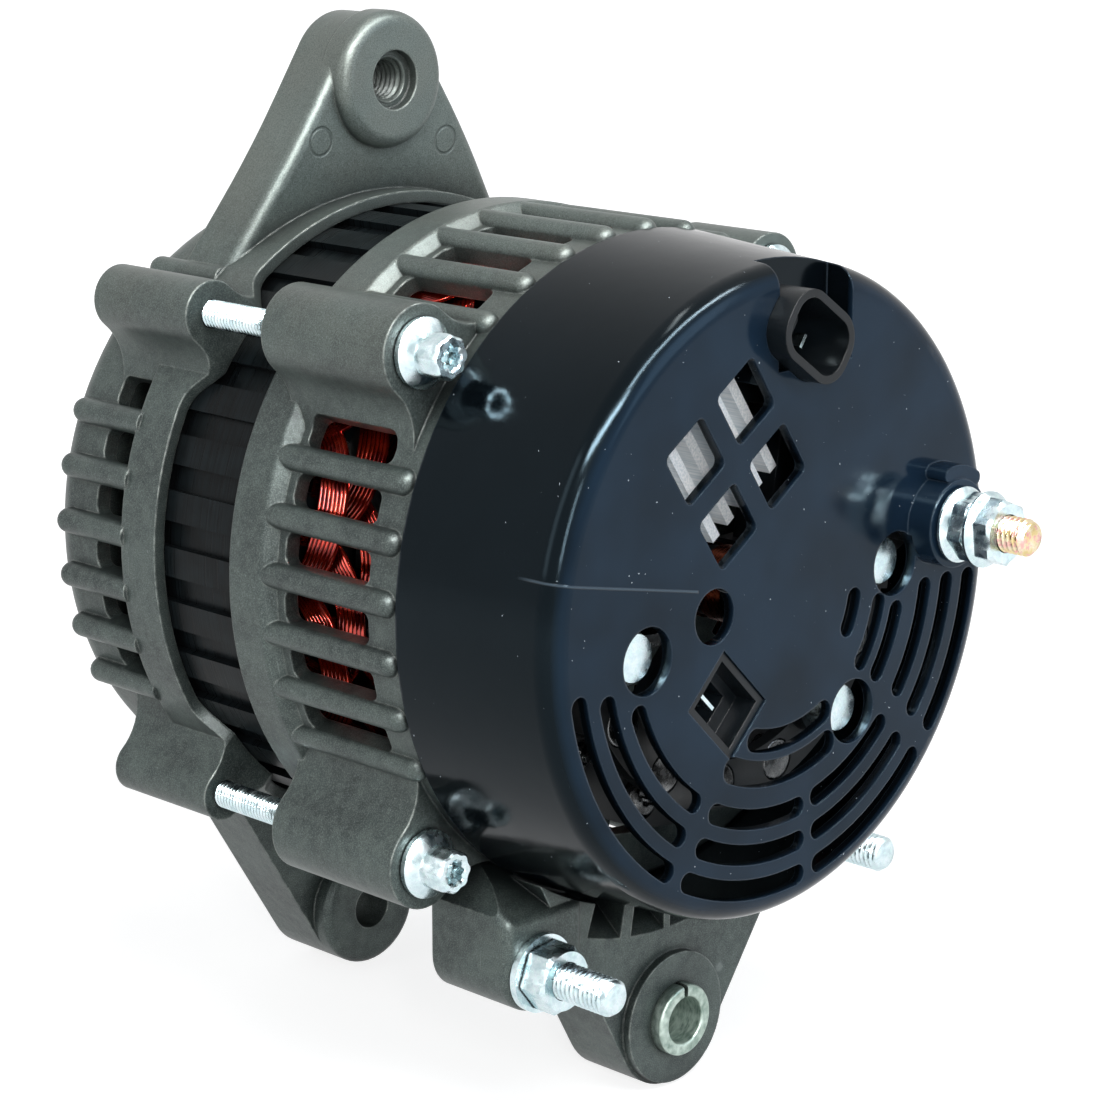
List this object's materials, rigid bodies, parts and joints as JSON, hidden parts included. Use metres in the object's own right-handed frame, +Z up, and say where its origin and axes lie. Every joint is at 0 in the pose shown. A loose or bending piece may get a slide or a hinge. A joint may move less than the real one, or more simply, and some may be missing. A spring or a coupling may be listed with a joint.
{
  "type": "alternator",
  "caption": "Compact belt-driven alternator with an inside fan at each end, a slotted black rear cover, a threaded top ear and two lower pivot lugs.",
  "frame": {"origin": "centre of the pivot bolt's hole, on the front face of the drive end lug", "axes": "+Y runs along the rotor's axis towards the pulley, +Z points up to the threaded ear, +X to the side of the output stud"},
  "size_m": [0.1466, 0.2205, 0.2278],
  "materials": {
    "cast_frame": "cast, coated dark grey, rubbed bright on edges",
    "core_black": "laminations painted satin black",
    "winding_red": "copper wire with glossy red enamel",
    "cover_black": "moulded glossy black",
    "zinc": "bright zinc plating",
    "yellow_zinc": "yellow passivated zinc plating",
    "bare_aluminium": "extruded, bare",
    "black_moulding": "glass-filled, satin",
    "bushing_steel": "raw turned steel",
    "shaft_steel": "ground",
    "rotor_iron": "forged, dark",
    "fan_steel": "pressed sheet",
    "copper": "turned copper",
    "field_enamel": "enamelled copper wire",
    "carbon": "pressed carbon",
    "spring_steel": "drawn wire",
    "pulley_steel": "turned, phosphated"
  },
  "bodies": {
    "housing": {"drive_end_frame": "cast_frame", "rear_frame": "cast_frame", "stator_core": "core_black", "stator_winding": "winding_red", "rear_cover": "cover_black", "through_bolts": "zinc", "rectifier_bolts": "zinc", "rectifier_insulators": "black_moulding", "positive_heat_sink": "bare_aluminium", "negative_heat_sink": "bare_aluminium", "positive_diodes": "shaft_steel", "negative_diodes": "shaft_steel", "regulator": "black_moulding", "regulator_screws": "zinc", "brush_holder": "black_moulding", "brush_spring_1": "spring_steel", "brush_spring_2": "spring_steel", "connector_shroud": "black_moulding", "connector_pins": "zinc", "terminal_socket": "black_moulding", "socket_blade": "zinc", "positive_stud": "yellow_zinc", "positive_insulator": "black_moulding", "positive_inner_nut": "zinc", "positive_outer_nut": "zinc", "ground_stud": "zinc", "ground_washer": "zinc", "ground_nut": "zinc", "side_stud": "zinc", "front_bearing_outer": "shaft_steel", "rear_bearing_outer": "shaft_steel", "bearing_retainer": "fan_steel", "retainer_screws": "zinc"},
    "rotor": {"rotor_shaft": "shaft_steel", "claw_pole_rear": "rotor_iron", "claw_pole_front": "rotor_iron", "field_bobbin": "black_moulding", "field_coil": "field_enamel", "slip_ring_hub": "black_moulding", "slip_rings": "copper", "front_fan": "fan_steel", "rear_fan": "fan_steel", "front_bearing_inner": "shaft_steel", "rear_bearing_inner": "shaft_steel", "bearing_spacer": "shaft_steel", "pulley": "pulley_steel", "pulley_washer": "zinc", "pulley_nut": "zinc"},
    "front_balls": {"front_ball_cage": "spring_steel", "front_ball_set": "shaft_steel"},
    "rear_balls": {"rear_ball_cage": "spring_steel", "rear_ball_set": "shaft_steel"},
    "bushing": {"pivot_bushing": "bushing_steel"},
    "brush_a": {"brush_1": "carbon"},
    "brush_b": {"brush_2": "carbon"}
  },
  "joints": [
    {"name": "rotor_spin", "type": "hinge", "parent": "housing", "child": "rotor", "pos_m": [0, -0.048, 0.1], "axis": [0, 1, 0], "continuous": true},
    {"name": "front_balls_orbit", "type": "hinge", "parent": "housing", "child": "front_balls", "pos_m": [0, -0.0025, 0.1], "axis": [0, 1, 0], "continuous": true},
    {"name": "rear_balls_orbit", "type": "hinge", "parent": "housing", "child": "rear_balls", "pos_m": [0, -0.1065, 0.1], "axis": [0, 1, 0], "continuous": true},
    {"name": "bushing_slide", "type": "slide", "parent": "housing", "child": "bushing", "axis": [0, 1, 0], "range_m": [0, 0.003]},
    {"name": "brush_1_slide", "type": "slide", "parent": "housing", "child": "brush_a", "axis": [1, 0, 0], "range_m": [0, 0.003], "stiffness_N_per_m": 400, "springref_m": -0.01, "deforming": ["brush_spring_1"]},
    {"name": "brush_2_slide", "type": "slide", "parent": "housing", "child": "brush_b", "axis": [1, 0, 0], "range_m": [0, 0.003], "stiffness_N_per_m": 400, "springref_m": -0.01, "deforming": ["brush_spring_2"]}
  ],
  "couplings": [
    {"joint": "front_balls_orbit", "follows": "rotor_spin", "ratio": 0.378},
    {"joint": "rear_balls_orbit", "follows": "rotor_spin", "ratio": 0.384}
  ]
}
